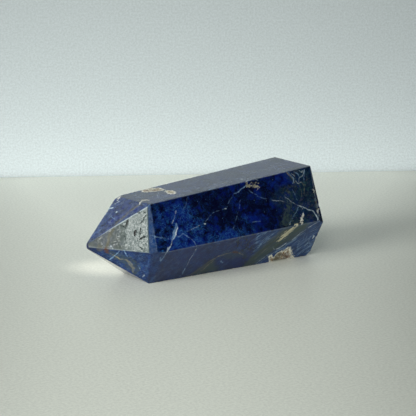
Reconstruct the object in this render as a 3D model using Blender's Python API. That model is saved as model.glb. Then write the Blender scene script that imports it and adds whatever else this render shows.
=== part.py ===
"""Polished sodalite point, lying on one of its long flats.

The stone is one piece: a bar ground to six long flats, a crown of flats that meet in a blunt
tip at -X, and a sawn end at +X. Each flat is one plane cut, given the way a stone cutter sets
it: an index angle round the long axis, a tilt towards the tip, and a depth from the heart of
the stone. Small scoops knocked out of the edges and a shallow worn pocket finish it.
"""

from math import cos, radians, sin
from typing import NamedTuple

import bmesh
import bpy
from mathutils import Matrix, Vector, noise

MM = 0.001

# Driving dimensions
SIDE_DEPTH = 12.0 * MM  # from the long axis out to a long flat
HALF_LENGTH = 34.6 * MM  # from the heart to the sawn end
CROWN_DEPTH = 20.0 * MM  # from the heart out to a crown flat
CROWN_TILT = 35.5  # degrees between a crown flat and the long axis
TIP_DEPTH = 33.4 * MM  # from the heart to the blunt tip
EDGE_ROUND = 0.16 * MM  # how far polishing has worn back each edge
BLOCK_SIZE = 120.0 * MM  # the rough block that the flats are cut from

STONE_COLOUR = (0.012, 0.022, 0.085, 1.0)
STONE_ROUGHNESS = 0.22


class Flat(NamedTuple):
    """A plane cut. Index 0 faces up and 90 faces the front, -Y. A tilt of 90 faces the tip."""

    index: float
    tilt: float
    depth: float


# The flats as ground by hand, so each is a little off the regular six-sided figure
LONG_FLATS = {
    "top": Flat(-0.6, 4.9, SIDE_DEPTH - 0.80 * MM),
    "front_upper": Flat(67.0, 3.3, SIDE_DEPTH - 0.80 * MM),
    "front_lower": Flat(119.9, 1.0, SIDE_DEPTH + 0.05 * MM),
    "underside": Flat(180.0, 0.0, SIDE_DEPTH),
    "back_lower": Flat(-119.0, 1.3, SIDE_DEPTH - 0.30 * MM),
    "back_upper": Flat(-64.1, 3.2, SIDE_DEPTH - 0.60 * MM),
}
CROWN_FLATS = {
    "crown_top": Flat(2.4, CROWN_TILT - 0.2, CROWN_DEPTH - 0.95 * MM),
    "crown_top_facet": Flat(9.8, CROWN_TILT - 0.1, CROWN_DEPTH - 0.60 * MM),
    "crown_front_upper": Flat(61.6, CROWN_TILT + 0.4, CROWN_DEPTH - 0.25 * MM),
    "crown_front_lower": Flat(125.3, CROWN_TILT + 1.6, CROWN_DEPTH + 1.15 * MM),
    "crown_underside": Flat(179.6, CROWN_TILT - 0.7, CROWN_DEPTH + 0.50 * MM),
    "crown_back_lower": Flat(-120.1, CROWN_TILT - 0.5, CROWN_DEPTH + 0.10 * MM),
    "crown_back_upper": Flat(-69.1, CROWN_TILT + 0.4, CROWN_DEPTH - 0.20 * MM),
}
SHOULDER_FLATS = {
    "shoulder_front_upper": Flat(65.9, 18.2, SIDE_DEPTH + 3.55 * MM),
    "shoulder_front_lower": Flat(119.0, 10.3, SIDE_DEPTH + 2.65 * MM),
    "shoulder_back": Flat(-20.0, 20.0, SIDE_DEPTH + 5.05 * MM),
}
END_FLATS = {
    "sawn_end": Flat(0.0, -88.6, HALF_LENGTH),
    "end_bevel": Flat(68.6, -14.6, HALF_LENGTH - 13.45 * MM),
    "end_corner": Flat(147.8, -37.5, HALF_LENGTH - 2.70 * MM),
    "blunt_tip": Flat(0.0, 90.0, TIP_DEPTH),
}
FLATS = LONG_FLATS | CROWN_FLATS | SHOULDER_FLATS | END_FLATS


class Chip(NamedTuple):
    """A scoop out of the edge between two flats, `along` from its corner with a third flat."""

    first: str
    second: str
    corner: str
    along: float
    radius: float
    bite: float


CHIPS = [
    Chip("front_upper", "end_bevel", "front_lower", 1.6 * MM, 0.70 * MM, 0.24 * MM),
    Chip("front_upper", "end_bevel", "front_lower", 3.0 * MM, 0.55 * MM, 0.20 * MM),
    Chip("front_upper", "end_bevel", "front_lower", 4.4 * MM, 0.80 * MM, 0.26 * MM),
    Chip("front_upper", "end_bevel", "front_lower", 6.1 * MM, 0.60 * MM, 0.18 * MM),
    Chip("sawn_end", "end_bevel", "front_lower", 4.9 * MM, 1.10 * MM, 0.25 * MM),
    Chip("sawn_end", "front_lower", "end_bevel", 6.0 * MM, 1.30 * MM, 0.22 * MM),
    Chip("sawn_end", "back_upper", "top", 5.5 * MM, 1.40 * MM, 0.30 * MM),
    Chip("sawn_end", "back_lower", "underside", 7.0 * MM, 1.60 * MM, 0.35 * MM),
    Chip("crown_top", "crown_back_upper", "shoulder_back", 4.4 * MM, 0.90 * MM, 0.30 * MM),
    Chip("crown_top", "crown_back_upper", "shoulder_back", 5.6 * MM, 0.60 * MM, 0.22 * MM),
    Chip("crown_front_lower", "underside", "front_lower", 0.7 * MM, 0.80 * MM, 0.25 * MM),
    Chip("crown_back_lower", "back_lower", "underside", 4.2 * MM, 1.20 * MM, 0.28 * MM),
    Chip("back_upper", "back_lower", "sawn_end", 19.0 * MM, 1.50 * MM, 0.24 * MM),
    Chip("front_upper", "front_lower", "sawn_end", 9.4 * MM, 0.70 * MM, 0.12 * MM),
]
CHIP_ROUGHNESS = 0.12  # how uneven a scoop is, as a share of its radius
CHIP_SEED_STEP = 7.3  # moves each scoop to its own part of the noise

# The worn pocket on the lower front flat: its outline in mm, from the sawn end and up the flat
POCKET_OUTLINE = [
    (6.6, -0.5),
    (7.4, 1.7),
    (8.3, 2.8),
    (9.5, 2.4),
    (11.8, 3.0),
    (12.7, 1.2),
    (12.1, -0.5),
]
POCKET_DEPTH = 0.30 * MM
POCKET_PROUD = 1.0 * MM
POCKET_FLARE = 0.25  # how much wider the pocket's mouth is than its floor


def remove_everything():
    """Empty the file of the objects that it starts with."""
    for thing in list(bpy.data.objects):
        bpy.data.objects.remove(thing, do_unlink=True)


def normal_of(flat):
    """The direction that a flat faces."""
    index = radians(flat.index)
    tilt = radians(flat.tilt)
    return Vector((-sin(tilt), -sin(index) * cos(tilt), cos(index) * cos(tilt)))


def corner_of(*names):
    """The point where three flats meet."""
    flats = [FLATS[name] for name in names]
    rows = Matrix([normal_of(flat) for flat in flats])
    return rows.inverted() @ Vector([flat.depth for flat in flats])


def link(name, mesh, location=(0.0, 0.0, 0.0)):
    """Put a mesh in the scene as an object."""
    thing = bpy.data.objects.new(name, mesh)
    thing.location = location
    bpy.context.scene.collection.objects.link(thing)
    return thing


def mesh_from(shape, name):
    """Turn an edited shape into a mesh."""
    mesh = bpy.data.meshes.new(name)
    shape.to_mesh(mesh)
    shape.free()
    return mesh


def grind(shape, flat):
    """Take away what stands proud of a flat, and close the cut."""
    normal = normal_of(flat)
    result = bmesh.ops.bisect_plane(
        shape,
        geom=shape.verts[:] + shape.edges[:] + shape.faces[:],
        plane_co=normal * flat.depth,
        plane_no=normal,
        clear_outer=True,
    )
    rim = [item for item in result["geom_cut"] if isinstance(item, bmesh.types.BMEdge)]
    if rim:
        bmesh.ops.contextual_create(shape, geom=rim)


def ground_stone():
    """The stone as it leaves the grinding wheel, with every flat cut."""
    shape = bmesh.new()
    bmesh.ops.create_cube(shape, size=BLOCK_SIZE)
    for flat in FLATS.values():
        grind(shape, flat)
    bmesh.ops.recalc_face_normals(shape, faces=shape.faces[:])
    return mesh_from(shape, "sodalite_point")


def chip_cutter(chip, number):
    """An uneven ball that overlaps the edge by the depth of the chip's bite."""
    start = corner_of(chip.first, chip.second, chip.corner)
    normals = [normal_of(FLATS[name]) for name in (chip.first, chip.second)]
    edge = normals[0].cross(normals[1]).normalized()
    if edge.dot(normal_of(FLATS[chip.corner])) > 0.0:
        edge.negate()
    outward = (normals[0] + normals[1]).normalized()
    centre = start + edge * chip.along + outward * (chip.radius - chip.bite)

    shape = bmesh.new()
    bmesh.ops.create_icosphere(shape, subdivisions=2, radius=chip.radius)
    place = Vector((number * CHIP_SEED_STEP, 0.0, 0.0))
    for vert in shape.verts:
        bump = noise.noise(vert.co / chip.radius + place)
        vert.co *= 1.0 + CHIP_ROUGHNESS * bump
    return link(f"chip_cutter_{number}", mesh_from(shape, "chip_cutter"), centre)


def pocket_cutter():
    """A block with sloping sides that sinks the worn pocket into the lower front flat."""
    flat = FLATS["front_lower"]
    normal = normal_of(flat)
    foot = corner_of("front_lower", "underside", "sawn_end")
    along = normal_of(FLATS["underside"]).cross(normal).normalized()
    if along.x > 0.0:
        along.negate()
    upward = along.cross(normal).normalized()
    if upward.z < 0.0:
        upward.negate()

    points = [foot + along * (x * MM) + upward * (y * MM) for x, y in POCKET_OUTLINE]
    middle = sum(points, Vector()) / len(points)
    mouth_scale = 1.0 + POCKET_FLARE * POCKET_PROUD / POCKET_DEPTH
    shape = bmesh.new()
    floor = [shape.verts.new(point - normal * POCKET_DEPTH) for point in points]
    mouth = [
        shape.verts.new(middle + (point - middle) * mouth_scale + normal * POCKET_PROUD)
        for point in points
    ]
    shape.faces.new(floor)
    shape.faces.new(mouth)
    for i in range(len(points)):
        j = (i + 1) % len(points)
        shape.faces.new((floor[i], floor[j], mouth[j], mouth[i]))
    bmesh.ops.recalc_face_normals(shape, faces=shape.faces[:])
    return link("pocket_cutter", mesh_from(shape, "pocket_cutter"))


def carve(stone, cutter):
    """Cut one hidden shape out of the stone."""
    cutter.hide_render = True
    cutter.display_type = "WIRE"
    cut = stone.modifiers.new(cutter.name, "BOOLEAN")
    cut.operation = "DIFFERENCE"
    cut.solver = "EXACT"
    cut.object = cutter
    cutter.parent = stone


def round_edges(stone):
    """Soften every edge by the little that polishing takes off it."""
    bevel = stone.modifiers.new("polished_edges", "BEVEL")
    bevel.width = EDGE_ROUND
    bevel.segments = 2
    bevel.limit_method = "ANGLE"
    bevel.angle_limit = radians(3.0)


def sodalite():
    """Deep blue polished stone."""
    material = bpy.data.materials.new("sodalite")
    material.use_nodes = True
    shader = material.node_tree.nodes["Principled BSDF"]
    shader.inputs["Base Color"].default_value = STONE_COLOUR
    shader.inputs["Roughness"].default_value = STONE_ROUGHNESS
    shader.inputs["Metallic"].default_value = 0.0
    material.diffuse_color = STONE_COLOUR
    return material


def settle(stone):
    """Move the finished stone so that the middle of its footprint's box is the origin."""
    bpy.context.view_layer.update()
    finished = stone.evaluated_get(bpy.context.evaluated_depsgraph_get())
    points = [vert.co for vert in finished.data.vertices]
    low = Vector([min(point[i] for point in points) for i in range(3)])
    high = Vector([max(point[i] for point in points) for i in range(3)])
    stone.location = (-(low.x + high.x) / 2, -(low.y + high.y) / 2, -low.z)


def build():
    """Make the stone."""
    remove_everything()
    stone = link("sodalite_point", ground_stone())
    stone.data.materials.append(sodalite())
    round_edges(stone)
    for number, chip in enumerate(CHIPS):
        carve(stone, chip_cutter(chip, number))
    carve(stone, pocket_cutter())
    settle(stone)


build()
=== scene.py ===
"""The looks of a polished sodalite point: its fine surface, veins and polish, its table and its light."""

from math import cos, radians, sin, tan
from typing import NamedTuple

import bmesh
import bpy
import numpy as np
from mathutils import Matrix, Vector, noise
from mathutils.bvhtree import BVHTree
from mathutils.geometry import delaunay_2d_cdt
from mathutils.kdtree import KDTree


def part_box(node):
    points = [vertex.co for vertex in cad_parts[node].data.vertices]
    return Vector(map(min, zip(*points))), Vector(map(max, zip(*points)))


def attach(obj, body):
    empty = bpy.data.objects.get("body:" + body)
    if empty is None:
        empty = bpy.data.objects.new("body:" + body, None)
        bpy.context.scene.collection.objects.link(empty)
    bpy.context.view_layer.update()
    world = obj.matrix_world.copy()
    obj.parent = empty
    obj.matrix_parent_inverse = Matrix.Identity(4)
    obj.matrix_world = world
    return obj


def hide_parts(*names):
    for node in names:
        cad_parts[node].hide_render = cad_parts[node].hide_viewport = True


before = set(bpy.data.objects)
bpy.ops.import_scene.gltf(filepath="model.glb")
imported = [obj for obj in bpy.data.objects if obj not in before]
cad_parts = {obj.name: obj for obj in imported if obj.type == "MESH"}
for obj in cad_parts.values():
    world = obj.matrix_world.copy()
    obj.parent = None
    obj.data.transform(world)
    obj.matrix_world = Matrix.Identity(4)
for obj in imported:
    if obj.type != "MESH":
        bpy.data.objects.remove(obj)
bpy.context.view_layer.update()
NODE = "sodalite_point"

MM = 0.001

# The cut, as the solid has it
SIDE_DEPTH = 12.0 * MM
HALF_LENGTH = 34.6 * MM
CROWN_DEPTH = 20.0 * MM
CROWN_TILT = 35.5
TIP_DEPTH = 33.4 * MM
EDGE_ROUND = 0.16 * MM
BLOCK_SIZE = 120.0 * MM

# How finely the surface is divided
COARSENESS = 1.0
PLAIN_CELL = 0.70 * MM * COARSENESS  # longest mesh edge on plain polished stone
EDGE_CELL = 0.28 * MM * COARSENESS  # longest mesh edge along the stone's own edges
MARK_CELL = 0.18 * MM * COARSENESS  # longest mesh edge on veins and at the rims of patches
EDGE_BAND = 0.35 * MM  # how far from an edge the mesh stays that fine
MARK_BAND = 0.32 * MM  # how far from a vein or rim the mesh stays that fine
CELL_GROWTH = 0.50  # how fast the mesh edges grow beyond that
RIM_GAP = 0.05  # mm, the least distance of an inner mesh point from the rim of its face
SHARP_ANGLE = 26.0  # degrees between faces, above which shading breaks
FACES_END = 0.9  # a flat whose normal lies this much along the stone faces an end
ONLY_INSIDE = 1  # fill an outline with triangles, and nothing outside it
MERGE_GAP = 1e-6  # mm, below which two points are one
TINY = 1e-12  # keeps a division from failing

# The view: how the camera stands to the stone
CAMERA_PLACE = Vector((-211.56, -308.03, 105.14)) * MM
CAMERA_YAW = -35.03
CAMERA_PITCH = 13.30
CAMERA_ROLL = 0.36
CAMERA_LENS = 121.15  # mm
SENSOR_WIDTH = 36.0  # mm


class Flat(NamedTuple):
    """A plane cut: index angle round the long axis, tilt towards the tip, depth from the heart."""

    index: float
    tilt: float
    depth: float


FLATS = {
    "top": Flat(-0.6, 4.9, SIDE_DEPTH - 0.80 * MM),
    "front_upper": Flat(67.0, 3.3, SIDE_DEPTH - 0.80 * MM),
    "front_lower": Flat(119.9, 1.0, SIDE_DEPTH + 0.05 * MM),
    "underside": Flat(180.0, 0.0, SIDE_DEPTH),
    "back_lower": Flat(-119.0, 1.3, SIDE_DEPTH - 0.30 * MM),
    "back_upper": Flat(-64.1, 3.2, SIDE_DEPTH - 0.60 * MM),
    "crown_top": Flat(2.4, CROWN_TILT - 0.2, CROWN_DEPTH - 0.95 * MM),
    "crown_top_facet": Flat(9.8, CROWN_TILT - 0.1, CROWN_DEPTH - 0.60 * MM),
    "crown_front_upper": Flat(61.6, CROWN_TILT + 0.4, CROWN_DEPTH - 0.25 * MM),
    "crown_front_lower": Flat(125.3, CROWN_TILT + 1.6, CROWN_DEPTH + 1.15 * MM),
    "crown_underside": Flat(179.6, CROWN_TILT - 0.7, CROWN_DEPTH + 0.50 * MM),
    "crown_back_lower": Flat(-120.1, CROWN_TILT - 0.5, CROWN_DEPTH + 0.10 * MM),
    "crown_back_upper": Flat(-69.1, CROWN_TILT + 0.4, CROWN_DEPTH - 0.20 * MM),
    "shoulder_front_upper": Flat(65.9, 18.2, SIDE_DEPTH + 3.55 * MM),
    "shoulder_front_lower": Flat(119.0, 10.3, SIDE_DEPTH + 2.65 * MM),
    "shoulder_back": Flat(-20.0, 20.0, SIDE_DEPTH + 5.05 * MM),
    "sawn_end": Flat(0.0, -88.6, HALF_LENGTH),
    "end_bevel": Flat(68.6, -14.6, HALF_LENGTH - 13.45 * MM),
    "end_corner": Flat(147.8, -37.5, HALF_LENGTH - 2.70 * MM),
    "blunt_tip": Flat(0.0, 90.0, TIP_DEPTH),
}


class Chip(NamedTuple):
    """A scoop out of the edge between two flats, in mm, placed `along` it from its corner with a third."""

    first: str
    second: str
    corner: str
    along: float
    radius: float
    bite: float


CHIPS = [
    Chip("front_upper", "end_bevel", "front_lower", 1.6, 0.70, 0.24),
    Chip("front_upper", "end_bevel", "front_lower", 3.0, 0.55, 0.20),
    Chip("front_upper", "end_bevel", "front_lower", 4.4, 0.80, 0.26),
    Chip("front_upper", "end_bevel", "front_lower", 6.1, 0.60, 0.18),
    Chip("sawn_end", "end_bevel", "front_lower", 4.9, 1.10, 0.25),
    Chip("sawn_end", "front_lower", "end_bevel", 6.0, 1.30, 0.22),
    Chip("sawn_end", "back_upper", "top", 5.5, 1.40, 0.30),
    Chip("sawn_end", "back_lower", "underside", 7.0, 1.60, 0.35),
    Chip("crown_top", "crown_back_upper", "shoulder_back", 4.4, 0.90, 0.30),
    Chip("crown_top", "crown_back_upper", "shoulder_back", 5.6, 0.60, 0.22),
    Chip("crown_front_lower", "underside", "front_lower", 0.7, 0.80, 0.25),
    Chip("crown_back_lower", "back_lower", "underside", 4.2, 1.20, 0.28),
    Chip("back_upper", "back_lower", "sawn_end", 19.0, 1.50, 0.24),
    Chip("front_upper", "front_lower", "sawn_end", 9.4, 0.70, 0.12),
]
CHIP_ROUGHNESS = 0.12
CHIP_SEED_STEP = 7.3
CHIP_FINENESS = 4  # subdivisions of the ball that a scoop is cut with


class RidgeHighlight(NamedTuple):
    """A ridge with a painted highlight: its two flats, the flats that end it, and how strong the painted
    highlight is.
    """

    first: str
    second: str
    start: str
    end: str
    strength: float


# Ridges drawn with a painted highlight: a pale line that stands in for the light the bevels catch
RIDGE_HIGHLIGHTS = [
    RidgeHighlight("crown_top_facet", "crown_front_upper", "blunt_tip", "shoulder_front_upper", 1.0),
    RidgeHighlight("crown_front_upper", "crown_front_lower", "blunt_tip", "shoulder_front_upper", 0.35),
    RidgeHighlight("crown_front_upper", "shoulder_front_upper", "top", "crown_front_lower", 0.25),
    RidgeHighlight("top", "front_upper", "shoulder_front_upper", "end_bevel", 0.28),
    RidgeHighlight("front_upper", "front_lower", "shoulder_front_upper", "end_bevel", 0.22),
    RidgeHighlight("front_upper", "end_bevel", "top", "front_lower", 0.30),
    RidgeHighlight("crown_top", "crown_back_upper", "blunt_tip", "shoulder_back", 0.35),
    RidgeHighlight("top", "back_upper", "shoulder_back", "sawn_end", 0.40),
    RidgeHighlight("back_upper", "back_lower", "crown_back_upper", "sawn_end", 0.45),
    RidgeHighlight("top", "sawn_end", "back_upper", "end_bevel", 0.40),
]
RIDGE_HIGHLIGHT_WIDTH = 0.26  # mm to each side of the ridge

# The markings, by the flat they are on and their kind. Places on a flat are in mm from its middle: the
# first number runs towards the tip, the second round the stone. The hidden flats' markings are invented.


def band(start, end, half):
    """An outline that takes in a stretch of a flat, from side to side."""
    return [(start, half), (end, half), (end, -half), (start, -half)]


# Lines in the stone: width in mm, strength, route
VEINS = {
    ("front_upper", "white"): [
        (0.34, 0.4, [(10.3, 3.4), (11.2, 2.4), (11.9, 1.1), (12.6, 0.2)]),
        (0.34, 0.85, [(11, -0.2), (11.3, -1.4), (12.2, -2.8), (13.4, -3.9)]),
        (0.3, 0.6, [(13.5, -3.7), (14.4, -5.3), (15.1, -6.2), (15.9, -7.2)]),
        (0.22, 0.3, [(8.8, -2.3), (7, -2.1), (5.1, -1.7), (3.4, -1.4)]),
        (0.2, 0.55, [(5.6, -1.8), (4.2, -1.5), (2.9, -1.3)]),
        (0.55, 1, [(3.1, -1.35), (2.5, -1.3)]),
        (0.36, 0.8, [(-4.3, 1.8), (-4.7, 1.7)]),
        (0.2, 0.38, [(-19.5, 2.4), (-20.5, 1.8), (-21.9, 1.5), (-24.7, 0.9)]),
        (0.24, 0.4, [(-24.1, 2.4), (-24.9, 1.6), (-26.1, 0.5), (-27.2, 0)]),
        (0.26, 0.5, [(-27, 0), (-28, -0.8), (-29.1, -1.2), (-30.2, -1.6)]),
        (0.28, 0.5, [(-30, -1.5), (-31.6, -2.3), (-32.6, -3.1), (-33, -3.9)]),
        (0.42, 0.7, [(-32.8, -3.6), (-33.1, -4.4), (-33.3, -5.6)]),
        (0.3, 0.6, [(-29, -1.5), (-29.1, -2.3), (-28.8, -3.5)]),
        (0.3, 0.6, [(-13.2, 8.1), (-14.8, 8.7), (-16.3, 8.5), (-16.9, 7.9)]),
        (0.26, 0.45, [(-30.8, 9.3), (-31.4, 8.3), (-32, 8.9)]),
        (0.26, 0.4, [(-30, 5.9), (-30.6, 7.2), (-31.6, 7.5), (-32.6, 9)]),
        (0.22, 0.35, [(-28, 8.6), (-29, 7.6), (-28.6, 6.6), (-29.6, 5.4), (-31, 5.6)]),
    ],
    ("front_upper", "blue"): [
        (0.6, 0.7, [(11.2, 0.2), (11.8, -1.4), (12.8, -2.9), (13.7, -4)]),
        (0.15, 0.45, [(2.8, -1.2), (2, -0.2), (0.1, 0.9), (-1.3, 1.5), (-4.5, 1.8)]),
        (0.16, 0.35, [(-4.6, 1.8), (-5.4, 2.7), (-6.3, 3.8), (-7.2, 4.4), (-8.6, 5.5)]),
        (0.3, 0.7, [(-8.4, 5.4), (-9.7, 5.9), (-11.1, 6.5), (-12.6, 7.1)]),
        (0.18, 0.45, [(-12.9, 6.7), (-13.4, 5.4), (-14.4, 4.8), (-15.5, 4.1)]),
        (0.18, 0.4, [(-15.5, 4.1), (-16.6, 3.1), (-18.3, 2.7), (-19.7, 2.4)]),
        (0.18, 0.45, [(-28.4, -0.9), (-27.4, -1.7), (-26.1, -3.1), (-24.7, -4.2)]),
        (0.18, 0.4, [(-24.8, -4.1), (-23.6, -5.3), (-22.9, -6.3)]),
        (0.22, 0.6, [(19.5, -2.1), (17.8, -2.4), (16.7, -3.1), (14.2, -3.7)]),
        (0.22, 0.65, [(12.3, -3.1), (11, -3.4), (9.8, -2.8), (9.1, -3.4)]),
        (0.22, 0.65, [(9.1, -3.4), (8.3, -4.5), (7.1, -5.5), (6.7, -6.8)]),
        (0.2, 0.45, [(-9.8, 3.6), (-9.1, 2.4), (-8.8, 1.3), (-8.3, 0.2)]),
        (0.18, 0.35, [(-8.3, 0.2), (-7.4, -1.4), (-6.6, -2.3), (-5.2, -4.4)]),
        (0.16, 0.3, [(5.9, 6.6), (7.3, 4.7), (8.4, 3), (10, 0.8)]),
        (0.2, 0.45, [(-12.2, -3), (-13.3, -2.9), (-14.7, -3.1)]),
        (0.18, 0.4, [(-27.2, 4.4), (-27.7, 2.2), (-28.1, 0.8)]),
        (0.3, 0.6, [(-27.2, 8.9), (-27.9, 7.6), (-28.6, 6.6), (-27.9, 5.6)]),
        (0.3, 0.5, [(-29.1, 8.9), (-30.2, 8), (-30.6, 6.8)]),
        (0.3, 0.5, [(-32.6, 9), (-32, 7.2), (-31.5, 5.4)]),
    ],
    ("front_lower", "white"): [
        (0.3, 0.55, [(15.7, 6.3), (16, 4.9), (16.2, 3.8), (16.6, 3.1)]),
        (0.24, 0.5, [(7, 4.9), (7.1, 2.4), (7.3, 0.8), (7.8, -1.2), (8.2, -3.9)]),
        (0.28, 0.75, [(-33.4, 7), (-31.3, 5.5), (-29.9, 4.7), (-28.8, 3.6)]),
        (0.26, 0.7, [(-29, 3.8), (-27.4, 2.4), (-26.1, 1.2), (-24.7, 0.2)]),
        (0.34, 0.8, [(-25, 0.4), (-23.6, -0.8), (-22.4, -1.4), (-21.3, -2.1)]),
        (0.24, 0.6, [(-21.3, -2.1), (-20.8, -1.3), (-19.9, -0.6)]),
        (0.2, 0.65, [(-19.7, -3.4), (-19.1, -3.9), (-17.7, -5.3), (-16.6, -6.4)]),
        (0.46, 1, [(-33.6, 1.7), (-33.7, 0.9), (-33.8, -0.2)]),
    ],
    ("front_lower", "blue"): [
        (0.4, 0.5, [(16.7, 2.6), (16.9, 1.6), (17.3, 0.8), (17.8, 1.9)]),
        (0.3, 0.6, [(8.1, -3.5), (8.4, -5.3), (8.8, -6.5)]),
        (0.18, 0.7, [(-31, 2), (-31.4, -1.2)]),
        (0.18, 0.8, [(-32.6, 1.3), (-32.7, -1.2)]),
        (0.18, 0.6, [(-30, 3), (-30.4, -0.5)]),
        (0.22, 0.7, [(-33, -0.8), (-33.6, -2)]),
        (0.2, 0.6, [(-29, -0.2), (-29.4, -2.8)]),
        (0.36, 0.8, [(-3.3, -2.8), (-4.3, -3.9)]),
    ],
    ("front_upper", "cream"): [
        (0.62, 0.8, [(-28.9, -3.2), (-28.1, -4.4), (-27.7, -4.9), (-27.6, -5.6)]),
    ],
    ("front_upper", "tan"): [
        (0.4, 0.45, [(-26.6, 9), (-27.3, 7.9), (-28.3, 7), (-28.4, 5.8)]),
        (0.34, 0.25, [(-30.4, 5.9), (-31.2, 4.9), (-31.3, 3.6), (-30.7, 2.4)]),
        (0.26, 0.2, [(-29, 7), (-30, 4.2), (-29.8, 1.6)]),
    ],
    ("front_upper", "scar"): [
        (0.7, 0.9, [(-33.8, -0.4), (-33.9, -2.6), (-33.7, -4.2)]),
    ],
    ("front_lower", "tan"): [
        (0.34, 0.6, [(0.4, -1.9), (-0.9, -1.3), (-1.9, -0.9), (-3.6, -0.6), (-5.6, -0.1)]),
        (0.4, 0.55, [(-8.4, -0.8), (-9.7, -1.4), (-10.4, -1.9)]),
        (0.3, 0.5, [(2.4, -5.6), (0.6, -3.8), (-0.6, -2)]),
        (0.34, 0.45, [(-26.3, 7.4), (-23.4, 5.6), (-20.6, 3.3), (-19.2, 1.4)]),
        (0.24, 0.4, [(-20, 5), (-17.9, 2.6), (-16.3, 0.2)]),
        (0.24, 0.4, [(-18.5, -0.2), (-16.8, -2.4), (-15.2, -4.6)]),
    ],
    ("front_lower", "ochre"): [
        (0.9, 0.5, [(6.8, -6.9), (4, -5.6), (1.9, -3.9), (0.2, -2)]),
    ],
    ("top", "white"): [
        (0.24, 0.5, [(9.4, 1.6), (10.1, 0.5), (11.3, -1.1), (11.9, -2.2), (12.3, -3.9)]),
        (0.22, 0.45, [(12.3, -3.7), (12.5, -4.9), (13, -6.4)]),
        (0.2, 0.35, [(15.1, 4), (15.5, 2.2), (15.7, 0.5), (16.3, -1.3)]),
        (0.24, 0.45, [(-13.2, -2.6), (-13.7, -5.1), (-14.4, -6.4), (-14.8, -8.2)]),
        (0.45, 1, [(-13.5, -4.9), (-13.9, -5.4)]),
        (0.2, 0.4, [(-29, 7.5), (-28.7, 3.1), (-28.3, -1), (-26.6, -3.4), (-26.4, -8)]),
    ],
    ("top", "blue"): [
        (0.16, 0.6, [(3.6, 2.8), (4.2, -2.8), (4.4, -6.9)]),
        (0.3, 0.9, [(-0.8, -7.6), (-2.2, -7.2), (-3.2, -7.6)]),
    ],
    ("top", "scar"): [
        (0.24, 0.8, [(19.8, -5.4), (18.4, -4.4), (17, -3.4)]),
    ],
    ("crown_top", "blue"): [
        (0.26, 0.75, [(17.3, 2.9), (17.6, 1.3), (17.7, -0.5), (17.8, -1.9)]),
    ],
    ("crown_top", "white"): [
        (0.5, 0.95, [(15.8, 1.7), (15.6, 1.4)]),
        (0.34, 0.8, [(15.6, 5.4), (15.2, 4.7), (14.8, 4.2)]),
        (0.3, 0.6, [(13.6, 5.1), (12.6, 4.8), (12, 4.3)]),
    ],
    ("crown_top", "tan"): [
        (0.3, 0.3, [(18.6, -2.9), (16.4, -2.8), (13.6, -3), (11.4, -3.5), (9.8, -3.9)]),
    ],
    ("crown_top", "ochre"): [
        (1, 0.6, [(19, -2.7), (15.4, -2.6), (13, -2.8), (11, -3.4)]),
    ],
    ("crown_front_upper", "ochre"): [
        (0.85, 0.85, [(19.4, 1.6), (20.4, 0.6), (21, -0.1), (21.5, -1)]),
        (0.75, 0.8, [(21.4, -0.9), (22.2, -2), (22.6, -2.8)]),
    ],
    ("crown_front_upper", "white"): [
        (0.26, 0.6, [(21.7, -2.4), (21.2, -3.7)]),
    ],
    ("crown_front_lower", "tan"): [
        (0.34, 0.7, [(20, -0.1), (18.9, -0.5), (17.8, -0.8), (15.3, -0.6)]),
        (0.7, 0.35, [(14.4, -1), (13.4, -1.7), (12.8, -2.4), (12.8, -3.8)]),
    ],
    ("crown_front_lower", "blue"): [
        (0.26, 0.9, [(18.2, 1.9), (18.3, 0.5), (19, -0.8), (19.5, -2.2)]),
        (0.3, 0.9, [(17.1, 2.6), (16.4, 1.8), (15.7, 1)]),
        (0.26, 0.6, [(12.5, -0.6), (11.6, -1.5), (10.7, -2.4)]),
    ],
    ("crown_front_lower", "white"): [
        (0.36, 0.35, [(9.4, -3.3), (9.6, -4), (9.7, -4.5)]),
        (0.3, 0.55, [(21.2, 3), (20.6, 2.3), (19.8, 1.5)]),
    ],
    ("back_upper", "white"): [
        (0.26, 0.55, [(15, -6), (11, -2.5), (7.5, -1.5), (3, 1.5), (0.5, 5.5)]),
        (0.3, 0.6, [(-23, 6.5), (-25.5, 3), (-29.5, 1.5), (-33.5, -1.5)]),
    ],
    ("back_upper", "blue"): [
        (0.22, 0.6, [(7.5, -1.5), (2, -3), (-4, -2.2), (-9.5, -4.5), (-15, -4)]),
        (0.2, 0.5, [(-12, 6.5), (-15, 2), (-16.5, -2.5), (-20.5, -6.5)]),
    ],
    ("back_lower", "white"): [
        (0.24, 0.5, [(12, -6.5), (8, -2), (5.5, 2), (5, 6.5)]),
    ],
    ("back_lower", "blue"): [
        (0.22, 0.55, [(-2, 6.5), (-6.5, 3.5), (-12.5, 2.5), (-17, -1), (-24, -2)]),
    ],
    ("back_lower", "tan"): [
        (0.34, 0.5, [(-18, 6.5), (-21.5, 3), (-26, 1.5), (-31, -3)]),
    ],
    ("sawn_end", "blue"): [
        (0.26, 0.6, [(8.5, 4), (4, 1.5), (-1.5, 2), (-5.5, -3.5), (-8, -6)]),
    ],
    ("sawn_end", "white"): [
        (0.22, 0.5, [(4, 1.5), (2.5, -3.5), (3.5, -8.5)]),
    ],
    ("underside", "blue"): [
        (0.24, 0.6, [(12, -4.5), (4, -1), (-6, -2.5), (-16, 1.5), (-28, 0.5)]),
    ],
    ("crown_back_upper", "blue"): [
        (0.24, 0.6, [(21, 1), (17, 1.5), (13, -1), (10, -3.5)]),
    ],
    ("crown_back_lower", "white"): [
        (0.22, 0.5, [(19, -1), (15, 0.5), (11.5, 3)]),
    ],
    ("crown_front_upper", "scar"): [
        (0.53, 1, [(15.2, 2.9), (15.6, 2.2), (15.9, 1.5), (16.6, 0.7)]),
        (0.33, 1, [(16.6, 0.9), (17, 1.4), (17.6, 1.8)]),
        (0.62, 1, [(14.7, -1.5), (14.5, -0.8), (14.1, -0.4), (13.8, -0.8)]),
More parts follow.
